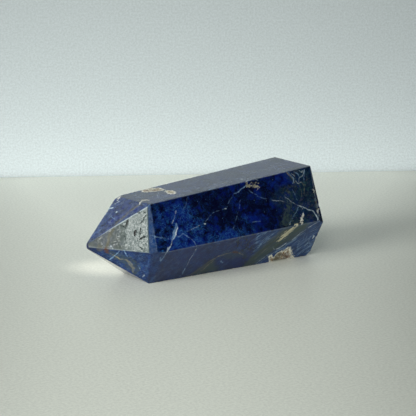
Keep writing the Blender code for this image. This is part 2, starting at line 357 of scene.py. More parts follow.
        (0.43, 1, [(13.6, -2.4), (13.2, -1.6), (12.9, -0.9), (12.5, -0.4)]),
        (0.55, 1, [(13.3, -3), (12.6, -2.7), (11.9, -2.7)]),
        (0.43, 1, [(12.3, 1), (11.5, 1.5), (10.8, 2.2), (10, 2.7)]),
        (0.38, 1, [(10.7, 3.9), (10.3, 3.5), (9.9, 3)]),
        (0.62, 1, [(12.3, 4.1), (11.8, 3.8)]),
        (0.3, 0.6, [(17.4, -1), (17.1, -1.6), (17.3, -2.2)]),
        (0.2, 0.7, [(13.4, -3.1), (13.2, -4.8), (13, -6.5)]),
        (0.2, 0.7, [(14.5, -4.6), (13.9, -5.5), (13, -6.7)]),
        (0.2, 0.6, [(12.6, -3.7), (12.4, -4.4), (12.3, -5.3)]),
        (0.2, 0.6, [(14.2, -2), (14, -3.2), (14.6, -4.4)]),
        (0.22, 0.5, [(18.8, 2.2), (18.2, 1.2), (18, 0.4)]),
        (0.18, 0.5, [(16.6, -3.4), (16, -4.2), (15.8, -5.2)]),
    ],
}

# Blotches and tints in the stone: strength, outline
PATCHES = {
    ("front_upper", "dark"): [
        (0.9, [(4, 8), (2, 1.5), (-1, -3), (-6, -2.5), (-8, 2), (-7, 8.5)]),
        (0.7, [(-10, 4), (-12, 0), (-17, 0.5), (-20, 4.5), (-18, 9), (-10.5, 6)]),
        (0.7, [(-16, -1), (-15, -6.5), (-23, -6.5), (-27, -3), (-21, -0.5)]),
    ],
    ("front_upper", "light"): [
        (0.7, [(18.5, 5), (7, 5.5), (4, 1), (2, -4), (-12, -4), (-12, -7), (18.5, -7)]),
        (0.8, [(6.8, 3), (6.2, 1.2), (4.6, 1.4), (4.8, 3.2)]),
        (0.6, [(-9.4, -1), (-9.6, -2.8), (-11.6, -2.8), (-11.4, -1)]),
    ],
    ("front_lower", "milky"): [
        (0.22, [(20, 10), (-12, 10), (-16, -10), (20, -10)]),
        (1, [(-10, 10), (-40, 10), (-40, -10), (-16, -10)]),
    ],
    ("front_lower", "light"): [
        (0.7, [(20, 10), (2, 10), (-12, -1), (-3, -10), (20, -10)]),
    ],
    ("front_lower", "even"): [
        (0.55, [(22, 12), (0, 12), (-16, -12), (22, -12)]),
    ],
    ("crown_front_lower", "even"): [
        (0.35, band(34, 5, 12)),
    ],
    ("shoulder_front_lower", "even"): [
        (0.5, band(34, 5, 12)),
    ],
    ("shoulder_front_lower", "milky"): [
        (0.35, band(30, 5, 12)),
    ],
    ("shoulder_front_lower", "light"): [
        (1, band(30, 5, 12)),
    ],
    ("crown_front_lower", "milky"): [
        (0.35, [(30, 0), (9, 7.5), (5, -8)]),
    ],
    ("crown_top", "misty"): [
        (0.38, [(31, 2), (10, 10), (7, -8), (31, -7)]),
    ],
    ("crown_top_facet", "misty"): [
        (0.5, band(31, 5, 12)),
    ],
    ("top", "misty"): [
        (0.55, band(22, -40, 12)),
    ],
    ("crown_front_upper", "silver"): [
        (1, [(17.5, 12), (5, 12), (5, -12), (20, -12)]),
    ],
    ("shoulder_front_upper", "misty"): [
        (0.45, band(25, 5, 12)),
    ],
    ("shoulder_front_upper", "light"): [
        (0.3, band(25, 5, 12)),
    ],
    ("shoulder_front_upper", "milky"): [
        (0.7, band(25, 5, 12)),
    ],
    ("crown_front_lower", "light"): [
        (0.65, [(25, -0.5), (11, 4.5), (8, -5)]),
    ],
    ("end_bevel", "green"): [
        (1, band(20, -20, 20)),
    ],
    ("front_upper", "moss"): [
        (1, [(-24.5, 0.4), (-25.2, 0.1), (-25, -1.2), (-24.1, -2.1), (-23.1, -2.6), (-23.9, -1.5)]),
        (1, [(-21.5, -3.6), (-24.3, -3.2), (-24.5, -4.8), (-22, -5)]),
    ],
    ("front_upper", "green"): [
        (0.8, [(-19.5, 2.5), (-23, 5.5), (-30, 6), (-34.5, -3), (-33, -6), (-26, -6.8), (-20.5, -5),
            (-23, -1)]),
        (1, [(-26, 10), (-27.5, 6), (-29.5, 4.6), (-29, 1.5), (-31, 0.3), (-32.5, -2.2), (-34.5, -3),
            (-35.5, 10)]),
    ],
    ("front_lower", "streak"): [
        (1, [(-11.6, -6.8), (-13.6, -3.1), (-15.5, -0.3), (-17.4, 2.2), (-19.7, 4.4), (-21.3, 6.3), (-30, 7),
            (-29, 3.6), (-26, 1.2), (-22.4, -1.4), (-19, -4), (-16.6, -6.8)]),
        (0.9, [(5.5, -6.8), (2.8, -4.8), (1.5, -3.4), (0.1, -1.5), (-1.3, -1.3), (-0.9, -3.3), (-3, -5),
            (-3.5, -6.8)]),
        (0.5, [(-2, -0.5), (-6, 0.8), (-10.5, -0.4), (-13.5, -3.6), (-8, -2.4), (-3, -1.8)]),
    ],
    ("crown_front_upper", "dull"): [
        (1, [(17, 12), (34, 12), (34, -12), (19, -12)]),
    ],
    ("back_upper", "light"): [
        (0.8, [(18, 8), (2, 7), (-4, -3), (6, -8), (18, -8)]),
    ],
    ("back_upper", "dark"): [
        (0.8, [(-6, 8), (-12, -2), (-22, -8), (-26, 1), (-20, 8)]),
    ],
    ("back_upper", "green"): [
        (0.8, [(-24, 8), (-27, 0), (-36, -5), (-36, 8)]),
    ],
    ("back_lower", "streak"): [
        (0.8, [(-12, 8), (-18, 0), (-30, -6), (-34, 1), (-24, 8)]),
    ],
    ("back_lower", "light"): [
        (0.7, [(16, 8), (-6, 6), (-8, -8), (14, -8)]),
    ],
    ("back_lower", "milky"): [
        (0.4, band(20, -40, 10)),
    ],
    ("sawn_end", "light"): [
        (0.8, [(12, 3), (2, 9), (-5, 4), (0, -5), (10, -7)]),
    ],
    ("sawn_end", "milky"): [
        (0.4, band(20, -20, 20)),
    ],
    ("sawn_end", "green"): [
        (0.8, [(-1, 14), (-6, 4), (-14, 0), (-14, 14)]),
    ],
    ("crown_back_upper", "light"): [
        (0.7, [(30, 0), (8, 7), (8, -7)]),
    ],
    ("back_upper", "cream"): [
        (0.8, [(-7, 4.6), (-8.4, 5.6), (-10, 5), (-10.6, 3.6), (-9, 2.8), (-7.8, 3.2)]),
    ],
    ("sawn_end", "cream"): [
        (0.7, [(-6, 6.2), (-7.4, 6.6), (-8.2, 5.4), (-7.6, 4), (-6.4, 4.4)]),
    ],
    ("front_upper", "strand"): [
        (0.45, [(-12.4, 7.3), (-13.1, 7.9), (-13.8, 7.5), (-16.1, 7.4), (-16.9, 6.9), (-16.5, 6.1),
            (-15.7, 6), (-14.9, 6.6), (-13.6, 6.8)]),
    ],
    ("front_upper", "ochre"): [
        (0.8, [(-33.7, 0.4), (-34.5, 0.6), (-34.5, -2.4), (-33.9, -2.6)]),
    ],
    ("front_upper", "cream"): [
        (0.35, [(-33.9, 3.2), (-34.2, 3.4), (-34.4, 2.4), (-34, 2)]),
        (0.75, [(-33.9, -2.5), (-34.6, -2.3), (-34.4, -3.9), (-33.9, -3.7)]),
    ],
    ("front_lower", "strand"): [
        (1, [(-25.8, 6.9), (-24, 6.1), (-22.6, 4.5), (-21.2, 3), (-20.3, 1.3), (-21.4, 1), (-22.4, 1.6),
            (-23.6, 3), (-24.8, 4.4), (-26.2, 6.2)]),
    ],
    ("front_lower", "cream"): [
        (1, [(-19.9, -3.9), (-20.9, -3.8), (-21.9, -4.9), (-22.2, -3.9), (-23, -3.1), (-24.7, -2.8),
            (-25.8, -1.7), (-26.5, -1.7), (-27.2, -2.8), (-28, -3.7), (-28.4, -4.8), (-29.9, -6.3),
            (-29.9, -7), (-21.4, -7), (-20.8, -5.8)]),
    ],
    ("front_lower", "ochre"): [
        (0.75, [(-22.4, -6.8), (-22.4, -4.2), (-23.1, -3.6), (-24.7, -3.7), (-25.1, -4.2), (-24.7, -6.8)]),
    ],
    ("front_lower", "rust"): [
        (0.75, [(-26.1, -3.8), (-27, -3.7), (-27.4, -4.5), (-28.2, -6.6), (-25.8, -6.8), (-25.4, -5.3)]),
        (0.85, [(-5.9, 0.1), (-7, 0.4), (-8.2, -0.4), (-8, -0.9), (-6.6, -0.5)]),
    ],
    ("top", "cream"): [
        (0.9, [(12.1, 5.2), (11.2, 7.9), (9.2, 7.9), (7.7, 5.8), (6.4, 5.2), (6.6, 3.4), (7.1, 1.9), (8, 2.1),
            (9.5, 2.8), (11, 3.4), (11.9, 4.3)]),
        (1, [(7.1, 1.4), (7.7, 0.5), (8.2, -1.6), (8.5, -3.1), (7.4, -3.6), (6.6, -2.8), (6, -1.9),
            (5.7, -0.1), (6.6, 1.1)]),
        (0.6, [(16.4, -1.5), (17.3, -2.3), (18.9, -3.8), (18.2, -3.9), (17, -3), (15.3, -3.8), (15.5, -3)]),
    ],
    ("top", "tan"): [
        (0.7, [(7.4, -0.4), (7.7, -1.8), (6.8, -2), (6.6, -0.8)]),
        (0.6, [(9, 6.4), (7.6, 4.8), (7.4, 3.2), (8.2, 3.6), (10, 5.4)]),
    ],
    ("crown_top", "green"): [
        (0.7, [(18.6, 4.6), (16.6, 4.9), (16.4, 3), (17.4, 2.4), (18.4, 3)]),
    ],
    ("crown_top", "cream"): [
        (0.55, [(12.4, 5.2), (11.4, 6.6), (10.2, 6.4), (10.8, 5.6)]),
    ],
    ("crown_front_lower", "rust"): [
        (0.95, [(21.9, 1.3), (22, 0.3), (21, -0.4), (20.3, -0.2), (20.6, 0.6), (21.2, 1.4)]),
    ],
    ("crown_front_lower", "ochre"): [
        (0.6, [(24, 1), (23.9, -0.5), (22.1, -0.6), (22.2, 1)]),
    ],
    ("crown_front_lower", "moss"): [
        (0.8, [(21, 0.6), (17, 0.4), (13.4, 0.6), (11.2, -1.6), (11.6, -4.4), (14, -3.4), (16, -1.8),
            (20, -1)]),
    ],
    ("crown_front_lower", "tan"): [
        (0.45, [(15.9, -0.1), (14.9, -0.2), (13.9, -0.7), (13, -1.9), (14, -1.9), (15.2, -1.2)]),
    ],
    ("front_lower", "pocket"): [
        (1, [(-28, -7.3), (-27.2, -4.9), (-26.3, -3.8), (-25.1, -4.2), (-22.8, -3.6), (-21.9, -5.4),
            (-22.5, -7.3)]),
    ],
}

FINE_KINDS = ("white", "blue", "cream", "strand", "tan", "ochre", "rust", "scar", "pocket")
SKIN_KINDS = ("milky", "even", "misty", "silver", "dull")  # tints that stay at the surface
SOFT_KINDS = ("green", "moss", "streak", "dark", "light", *SKIN_KINDS)
WANDER = ((0.30, 0.55), (0.14, 1.7))  # mm moved and turns per mm
WANDER_SEED = 2
VEIN_STEP = 0.35 * MM  # how far apart a vein's route is sampled to place fine mesh
VEIN_THIN = 0.35  # least width of a vein, against its middle
VEIN_TAPER = 0.4  # the lower, the shorter the thin ends
VEIN_END = 0.04  # share of its length at each end over which a vein stays at its thinnest
VEIN_CORNER = 0.25  # how much of each straight piece a rounded turn takes
PATCH_CORNER = 0.2  # the same for the outline of a blotch
REACH = 2.5 * MM  # beyond this, a marking isn't felt
SINK = 1.8 * MM  # how deep a blotch goes under its flat
SKIN = 0.09 * MM  # how deep a surface tint goes


# Geometry of the flats


def normal_of(flat):
    """The direction that a flat faces."""
    index = radians(flat.index)
    tilt = radians(flat.tilt)
    return Vector((-sin(tilt), -sin(index) * cos(tilt), cos(index) * cos(tilt)))


def corner_of(*names):
    """The point where three flats meet, from the heart."""
    flats = [FLATS[name] for name in names]
    rows = Matrix([normal_of(flat) for flat in flats])
    return rows.inverted() @ Vector([flat.depth for flat in flats])


def axes_of(name):
    """A flat's middle, its direction towards the tip, its direction round the stone, its normal."""
    flat = FLATS[name]
    normal = normal_of(flat)
    forward = Vector((-1.0, 0.0, 0.0))
    if abs(normal.x) > FACES_END:
        forward = Vector((0.0, -1.0, 0.0))
    forward = (forward - normal * forward.dot(normal)).normalized()
    return normal * flat.depth, forward, forward.cross(normal), normal


# The fine mesh of the stone


def grind(shape, flat):
    """Take away what stands proud of a flat, and close the cut."""
    normal = normal_of(flat)
    result = bmesh.ops.bisect_plane(
        shape,
        geom=shape.verts[:] + shape.edges[:] + shape.faces[:],
        plane_co=normal * flat.depth,
        plane_no=normal,
        clear_outer=True,
    )
    rim = [item for item in result["geom_cut"] if isinstance(item, bmesh.types.BMEdge)]
    if rim:
        bmesh.ops.contextual_create(shape, geom=rim)


def link(name, data):
    """Put a mesh, lamp or camera in the scene as an object."""
    thing = bpy.data.objects.new(name, data)
    bpy.context.scene.collection.objects.link(thing)
    return thing


def mesh_from(shape, name):
    """Turn an edited shape into a mesh."""
    mesh = bpy.data.meshes.new(name)
    shape.to_mesh(mesh)
    shape.free()
    return mesh


def chip_ball(chip, number):
    """The uneven ball that scoops a chip out, as an object, and its centre."""
    start = corner_of(chip.first, chip.second, chip.corner)
    normals = [normal_of(FLATS[name]) for name in (chip.first, chip.second)]
    edge = normals[0].cross(normals[1]).normalized()
    if edge.dot(normal_of(FLATS[chip.corner])) > 0.0:
        edge.negate()
    outward = (normals[0] + normals[1]).normalized()
    radius = chip.radius * MM
    centre = start + edge * (chip.along * MM) + outward * (radius - chip.bite * MM)
    shape = bmesh.new()
    bmesh.ops.create_icosphere(shape, subdivisions=CHIP_FINENESS, radius=radius)
    place = Vector((number * CHIP_SEED_STEP, 0.0, 0.0))
    for vert in shape.verts:
        vert.co *= 1.0 + CHIP_ROUGHNESS * noise.noise(vert.co / radius + place)
    ball = link(f"chip_ball_{number}", mesh_from(shape, "chip_ball"))
    ball.location = centre
    return ball, centre


def ground_stone():
    """The stone with every flat cut and its edges softened, before the chips; and its ridges."""
    shape = bmesh.new()
    bmesh.ops.create_cube(shape, size=BLOCK_SIZE)
    for flat in FLATS.values():
        grind(shape, flat)
    bmesh.ops.recalc_face_normals(shape, faces=shape.faces[:])
    ridges = [(edge.verts[0].co.copy(), edge.verts[1].co.copy()) for edge in shape.edges]
    bmesh.ops.bevel(
        shape,
        geom=shape.edges[:],
        offset=EDGE_ROUND,
        offset_type="OFFSET",
        segments=2,
        profile=0.5,
        affect="EDGES",
        clamp_overlap=True,
    )
    return mesh_from(shape, "ground_stone"), ridges


def chipped(mesh):
    """The stone with the chips scooped out, and the chips' centres and radii."""
    stone = link("ground_stone", mesh)
    balls = []
    centres = []
    for number, chip in enumerate(CHIPS):
        ball, centre = chip_ball(chip, number)
        cut = stone.modifiers.new(ball.name, "BOOLEAN")
        cut.operation = "DIFFERENCE"
        cut.solver = "EXACT"
        cut.object = ball
        balls.append(ball)
        centres.append((centre, chip.radius * MM))
    bpy.context.view_layer.update()
    finished = stone.evaluated_get(bpy.context.evaluated_depsgraph_get())
    shape = bmesh.new()
    shape.from_mesh(finished.to_mesh())
    for items in (shape.verts, shape.edges, shape.faces):
        items.index_update()
    for thing in [stone, *balls]:
        bpy.data.objects.remove(thing, do_unlink=True)
    return shape, centres


def stops_along(start, end, wanted):
    """Points from start up to but not including end, as close together as is wanted."""
    middle = start.lerp(end, 0.5)
    if (end - start).length <= wanted(middle):
        return [start]
    return stops_along(start, middle, wanted) + stops_along(middle, end, wanted)


def cell_middles(corner, size, to_space, wanted):
    """The middles of square cells, each cell halved until it is as small as is wanted."""
    middle = corner + Vector((size / 2, size / 2))
    if size <= wanted(to_space(middle)):
        return [middle]
    made = []
    for step in ((0, 0), (1, 0), (0, 1), (1, 1)):
        made += cell_middles(corner + Vector(step) * (size / 2), size / 2, to_space, wanted)
    return made


def divided(shape, wanted):
    """A shape's points and triangles, with every face filled with triangles of the size wanted."""
    points = [vert.co.copy() for vert in shape.verts]
    stops = {}
    for edge in shape.edges:
        first, last = edge.verts
        between = stops_along(first.co, last.co, wanted)[1:]
        added = range(len(points), len(points) + len(between))
        stops[edge.index] = [first.index, *added, last.index]
        points += between
    triangles = []
    for face in shape.faces:
        outline = []
        for corner in face.loops:
            along = stops[corner.edge.index]
            if along[0] != corner.vert.index:
                along = along[::-1]
            outline += along[:-1]
        if len(outline) == 3:
            triangles.append(outline)
        else:
            bounds = [vert.index for vert in face.verts]
            triangles += filled(outline, bounds, face.normal, points, wanted)
    return np.array(points), np.array(triangles)


def filled(outline, bounds, normal, points, wanted):
    """Triangles that fill an outline; the points inside its bounds are added to the list of points."""
    origin = points[outline[0]].copy()
    across = normal.orthogonal().normalized()
    along = normal.cross(across)

    def to_plane(spot):
        """A point in space as a place in mm on the face."""
        return Vector(((spot - origin).dot(across), (spot - origin).dot(along))) / MM

    def to_space(spot):
        """A place on the face as a point in space."""
        return origin + (across * spot.x + along * spot.y) * MM

    flat = [to_plane(points[number]) for number in outline]
    low = Vector([min(spot[i] for spot in flat) for i in range(2)])
    high = Vector([max(spot[i] for spot in flat) for i in range(2)])
    cell = PLAIN_CELL / MM
    inner = []
    if min(high - low) > EDGE_CELL / MM:
        for column in range(int((high.x - low.x) / cell) + 1):
            for row in range(int((high.y - low.y) / cell) + 1):
                corner = low + Vector((column * cell, row * cell))
                inner += cell_middles(corner, cell, to_space, lambda spot: wanted(spot) / MM)
        corners = np.array([to_plane(points[number]) for number in bounds])
        inner = inner_spots(corners, np.array(inner))
    rim = [list(range(len(flat)))]
    made = delaunay_2d_cdt(flat + inner, [], rim, ONLY_INSIDE, MERGE_GAP)
    spots, _, faces, sources = made[:4]
    numbers = {}
    for number, (spot, source) in enumerate(zip(spots, sources)):
        if source and source[0] < len(flat):
            numbers[number] = outline[source[0]]
        else:
            numbers[number] = len(points)
            points.append(to_space(spot))
    return [[numbers[corner] for corner in face] for face in faces]


def inner_spots(corners, spots):
    """Those spots that lie inside an outline and not too near it."""
    return [Vector(spot) for spot in spots[inside_outline(spots, corners) > RIM_GAP]]


def normals_at(points, triangles):
    """Each point's outward direction, from the triangles round it."""
    corners = points[triangles]
    crosses = np.cross(corners[:, 1] - corners[:, 0], corners[:, 2] - corners[:, 0])
    total = np.zeros_like(points)
    for i in range(3):
        np.add.at(total, triangles[:, i], crosses)
    return total / np.maximum(np.linalg.norm(total, axis=1, keepdims=True), TINY)


# Where the markings lie


def places_on(name, pairs):
    """Points in mm on a flat, as points in space from the heart."""
    middle, forward, around, _ = axes_of(name)
    return [middle + forward * (u * MM) + around * (v * MM) for u, v in pairs]


def cut_corners(pairs, share):
    """Two points on each pair's straight piece, a share in from either end."""
    made = []
    for first, second in pairs:
        made.append(first * (1.0 - share) + second * share)
        made.append(first * share + second * (1.0 - share))
    return made


def smooth_route(route):
    """A route's points with rounded turns, by cutting each corner twice."""
    points = [np.array(point) for point in route]
    for _ in range(2):
        turns = cut_corners(zip(points, points[1:]), VEIN_CORNER)
        points = [points[0], *turns, points[-1]]
    return points


def smooth_outline(outline):
    """A closed outline with its corners cut once."""
    points = [np.array(point, float) for point in outline]
    return cut_corners(zip(points, points[1:] + points[:1]), PATCH_CORNER)


def snapped(point, tree):
    """The nearest place on the stone's surface."""
    return tree.find_nearest(point)[0]


class Line(NamedTuple):
    """A straight piece of a vein, with the half width at each end, in metres."""

    kind: str
    strength: float
    start: np.ndarray
    end: np.ndarray
    first: float
    last: float


def vein_lines(tree):
    """The veins as straight pieces on the stone, thinner towards each vein's ends."""
    made = []
    for (flat, kind), veins in VEINS.items():
        for width, strength, route in veins:
            places = [np.array(snapped(place, tree)) for place in places_on(flat, route)]
            points = smooth_route(places)
            share = np.linspace(0.0, 1.0, len(points))
            bulge = np.sin(np.pi * np.clip(share, VEIN_END, 1.0 - VEIN_END)) ** VEIN_TAPER
            half = width * MM / 2 * (VEIN_THIN + (1.0 - VEIN_THIN) * bulge)
            spans = zip(points[:-1], points[1:], half[:-1], half[1:])
            made += [Line(kind, strength, *span) for span in spans]
    return made


def inside_line(points, line):
    """How far inside a tapering line each point lies, in metres, negative outside."""
    run = line.end - line.start
    share = np.clip((points - line.start) @ run / (run @ run), 0.0, 1.0)
    gap = np.linalg.norm(points - line.start - share[:, None] * run, axis=1)
    return line.first + (line.last - line.first) * share - gap


def inside_outline(spots, corners):
    """How far inside a closed outline each spot lies, negative outside."""
    nearest = np.full(len(spots), np.inf)
    crossings = np.zeros(len(spots), int)
    for start, end in zip(corners, np.roll(corners, -1, axis=0)):
        run = end - start
        share = np.clip((spots - start) @ run / (run @ run), 0.0, 1.0)
        nearest = np.minimum(nearest, np.linalg.norm(spots - start - share[:, None] * run, axis=1))
        between = (start[1] > spots[:, 1]) != (end[1] > spots[:, 1])
        rise = run[1] if abs(run[1]) > TINY else TINY
        crossing = start[0] + (spots[:, 1] - start[1]) / rise * run[0]
        crossings += between & (spots[:, 0] < crossing)
    return np.where(crossings % 2 == 1, nearest, -nearest)


def patches_of(kinds):
    """The blotches and tints of some kinds, each as its flat, strength and outline."""
    made = []
    for (flat, kind), patches in PATCHES.items():
        if kind in kinds:
            made += [(flat, strength, outline) for strength, outline in patches]
    return made


def inside_patch(points, drawn, flat, kind, outline):
    """How far inside a blotch each point lies; a tint stays on its flat, a blotch goes into the stone."""
    middle, forward, around, normal = (np.array(axis) for axis in axes_of(flat))
    local = drawn - middle
    spots = np.stack([local @ forward, local @ around], axis=1)
    across = inside_outline(spots, np.array(smooth_outline(outline)) * MM)
    above = (points - middle) @ normal
    if kind in SKIN_KINDS:
        return np.where(above > -SKIN, across, -REACH)
    return np.minimum(across, above + SINK)


def wandered(point):
    """A point moved a little by noise, so that what is drawn straight turns out crooked."""
    moved = Vector(point)
    for size, scale in WANDER:
        moved += noise.noise_vector(Vector(point) * (scale / MM)) * (size * MM)
    return moved


def marking_fields(points, lines):
    """For each kind, how far inside it each point lies in mm, and how strong the marking is there."""
    drawn = np.array([wandered(point) for point in points])
    fields = {}
    for kind in FINE_KINDS + SOFT_KINDS:
        inside = np.full(len(points), -REACH)
        strength = np.zeros(len(points))
        for line in (line for line in lines if line.kind == kind):
            low = np.minimum(line.start, line.end) - REACH
            high = np.maximum(line.start, line.end) + REACH
            near = np.flatnonzero(((drawn > low) & (drawn < high)).all(axis=1))
            here = inside_line(drawn[near], line)
            better = here > inside[near]
            inside[near[better]] = here[better]
            strength[near[better]] = line.strength
        for flat, patch_strength, outline in patches_of((kind,)):
            here = inside_patch(points, drawn, flat, kind, outline)
            better = here > inside
            inside[better] = here[better]
            strength[better] = patch_strength
        fields[kind] = np.clip(inside, -REACH, REACH) / MM
        fields[kind + "_strength"] = strength
    return fields


# Where the mesh is fine


def sampled(start, end):
    """Points along a straight piece, in space."""
    count = int(np.linalg.norm(end - start) / VEIN_STEP) + 2
    return list(start + np.linspace(0.0, 1.0, count)[:, None] * (end - start))


def tree_of(spots):
    """A search tree over spots in space."""
    tree = KDTree(len(spots))
    for number, spot in enumerate(spots):
        tree.insert(spot, number)
    tree.balance()
    return tree


def cell_lengths(lines, ridges, tree):
    """A function that gives the longest mesh edge wanted at a point."""
    edge_spots = []
    for start, end in ridges:
        edge_spots += sampled(np.array(start), np.array(end))
    mark_spots = []
    for line in lines:
        mark_spots += sampled(line.start, line.end)
    for flat, _, outline in patches_of(FINE_KINDS):
        rim = places_on(flat, smooth_outline(outline))
        for first, second in zip(rim, rim[1:] + rim[:1]):
            spots = sampled(np.array(first), np.array(second))
            mark_spots += [np.array(snapped(Vector(spot), tree)) for spot in spots]
    edges = tree_of(edge_spots)
    marks = tree_of(mark_spots)

    def wanted(spot):
        """The longest mesh edge wanted at a spot."""
        to_edge = edges.find(spot)[2]
        to_mark = marks.find(wandered(spot))[2]
        near_edge = EDGE_CELL + CELL_GROWTH * max(to_edge - EDGE_BAND, 0.0)
        near_mark = MARK_CELL + CELL_GROWTH * max(to_mark - MARK_BAND, 0.0)
        return min(PLAIN_CELL, near_edge, near_mark)

    return wanted


# Relief


RELIEF = {  # mm sunk
    "cream": 0.02,
    "strand": 0.02,
    "tan": 0.03,
    "ochre": 0.05,
    "rust": 0.04,
    "white": 0.02,
    "scar": 0.05,
}
RELIEF_RIM = 0.25  # mm, how wide the slope at a marking's rim is
RELIEF_GRAIN = 0.6  # share of the sunk depth that comes and goes with the grain
RELIEF_SCALE = 2.2  # grains per mm
POCKET_DEPTH = 0.30  # mm
POCKET_WALL = 0.30  # mm, how wide the slope at the pocket's rim is
POCKET_ROUGH = 0.10  # mm
NICK_DEPTH = 0.07  # mm
NICK_SCALE = 1.1  # nicks per mm
NICK_REACH = 0.30  # mm from a ridge
NICK_LEVEL = 0.15  # the noise above which a ridge is nicked
NICK_GAIN = 2.5
RELIEF_SEED = 3.0  # which noise each of the three uses
POCKET_SEED = 5.0
NICK_SEED = 11.0


def grain(points, scale, seed):
    """Smooth noise at each point, about -1 to 1."""
    offset = Vector((seed, seed * 0.7, seed * 1.3))
    return np.array([noise.noise(Vector(point) * (scale / MM) + offset) for point in points])


def closeness(points, ridges, reach):
    """A ridge's strength on the ridge, falling to 0 within a reach in mm."""
    close = np.zeros(len(points))
    for start, end, strength in ridges:
        start = np.array(start)
        end = np.array(end)
        low = np.minimum(start, end) - reach * MM
        high = np.maximum(start, end) + reach * MM
        near = ((points > low) & (points < high)).all(axis=1)
        if near.any():
            gap = -inside_line(points[near], Line("ridge", strength, start, end, 0.0, 0.0)) / MM
            close[near] = np.maximum(close[near], strength * (1.0 - gap / reach))
    return np.clip(close, 0.0, 1.0)


def highlighted_ridges():
    """The ridges with a painted highlight, each as its two ends and its strength."""
    made = []
    for highlight in RIDGE_HIGHLIGHTS:
        ends = [corner_of(highlight.first, highlight.second, last) for last in (highlight.start, highlight.end)]
        made.append((*ends, highlight.strength))
    return made


def sunk(points, triangles, fields, near_ridge):
    """The points moved inwards where the stone is worn, pitted or nicked."""
    depth = np.zeros(len(points))
    for kind, deep in RELIEF.items():
        cover = np.clip(fields[kind] / RELIEF_RIM + 0.5, 0.0, 1.0) * fields[kind + "_strength"]
        here = cover > 0.0
        waves = grain(points[here], RELIEF_SCALE, RELIEF_SEED)
        rough = 1.0 - RELIEF_GRAIN + RELIEF_GRAIN * waves
        depth[here] += deep * cover[here] * np.maximum(rough, 0.0)
    slope = np.clip(fields["pocket"] / POCKET_WALL, 0.0, 1.0)
    here = slope > 0.0
    floor = POCKET_DEPTH + POCKET_ROUGH * grain(points[here], RELIEF_SCALE, POCKET_SEED)
    depth[here] = np.maximum(depth[here], slope[here] * floor)
    near = near_ridge > 0.0
    nicks = np.clip(grain(points[near], NICK_SCALE, NICK_SEED) - NICK_LEVEL, 0.0, 1.0)
    depth[near] += NICK_DEPTH * near_ridge[near] * nicks * NICK_GAIN
    return points - normals_at(points, triangles) * (depth * MM)[:, None]


def fresh_break(points, centres):
    """1 where a chip has laid the stone open."""
    fresh = np.zeros(len(points))
    for centre, radius in centres:
        gap = np.linalg.norm(points - np.array(centre), axis=1)
        fresh[gap < radius * (1.0 + CHIP_ROUGHNESS)] = 1.0
    return fresh


def stone_object():
    """The stone as one finely divided mesh that carries its markings as attributes."""
    noise.seed_set(WANDER_SEED)
    mesh, ridges = ground_stone()
    shape, centres = chipped(mesh)
    tree = BVHTree.FromBMesh(shape)
    lines = vein_lines(tree)
    points, triangles = divided(shape, cell_lengths(lines, ridges, tree))
    shape.free()
    fields = marking_fields(points, lines)
    # A painted highlight along the ridges
    fields["ridge_highlight"] = closeness(points, highlighted_ridges(), RIDGE_HIGHLIGHT_WIDTH)
    fields["fresh"] = fresh_break(points, centres)
    near_ridge = closeness(points, [(*ridge, 1.0) for ridge in ridges], NICK_REACH)
    points = sunk(points, triangles, fields, near_ridge)
    low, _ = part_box(NODE)
    points += np.array(low) - points.min(axis=0)

    mesh = bpy.data.meshes.new("stone")
    mesh.from_pydata(points.tolist(), [], triangles.tolist())
    for name, field in fields.items():
        layer = mesh.attributes.new(name, "FLOAT", "POINT")
        layer.data.foreach_set("value", field.astype(np.float32))
    mesh.shade_smooth()
    mesh.set_sharp_from_angle(angle=radians(SHARP_ANGLE))
    mesh.validate()
    return link("polished_stone", mesh)


# Writing node trees


VALUE = "NodeSocketFloat"
PLACE = "NodeSocketVector"
COLOUR = "NodeSocketColor"


class Signal:
    """What a node puts out, which adds and multiplies as a number does."""

    def __init__(self, socket):
        self.socket = socket
        self.tree = socket.id_data

    def beside(self, name):
        """Another output of the same node."""
        return Signal(self.socket.node.outputs[name])

    def __add__(self, other):
        return calculate("ADD", self, other)

    def __radd__(self, other):
        return calculate("ADD", other, self)

    def __sub__(self, other):
        return calculate("SUBTRACT", self, other)

    def __rsub__(self, other):
        return calculate("SUBTRACT", other, self)

    def __mul__(self, other):
        return calculate("MULTIPLY", self, other)


def join(value, socket):
    """Lead a signal to a socket, or set the socket to a plain value."""
    if isinstance(value, Signal):
        value.tree.links.new(value.socket, socket)
    else:
        socket.default_value = value


def put(tree, kind, inputs=None, out=0, **settings):
    """Add a node with its settings and inputs, and give back one of its outputs."""
    node = tree.nodes.new(kind)
    for name, value in settings.items():
        setattr(node, name, value)
    for name, value in (inputs or {}).items():
        join(value, node.inputs[name])
    return Signal(node.outputs[out])


def tree_among(values):
    """The node tree of the first signal among some values."""
    return next(value.tree for value in values if isinstance(value, Signal))


def calculate(operation, first, second=0.0, clamp=False):
    """The result of one sum."""
    tree = tree_among((first, second))
    return put(tree, "ShaderNodeMath", {0: first, 1: second}, operation=operation, use_clamp=clamp)


def capped(first, second):
    """One value times another, held between 0 and 1."""
    return calculate("MULTIPLY", first, second, clamp=True)


def reckon(operation, inputs, out="Vector"):
    """The result of one sum with vectors."""
    tree = tree_among(inputs.values())
    return put(tree, "ShaderNodeVectorMath", inputs, out, operation=operation)


def blend(factor, first, second):
    """One colour turned into another by a factor."""
    inputs = {"Factor_Float": factor, "A_Color": first, "B_Color": second}
    node = put(tree_among(inputs.values()), "ShaderNodeMix", data_type="RGBA").socket.node
    for socket in node.inputs:
        if socket.identifier in inputs:
            join(inputs[socket.identifier], socket)
    return Signal(next(socket for socket in node.outputs if socket.identifier == "Result_Color"))


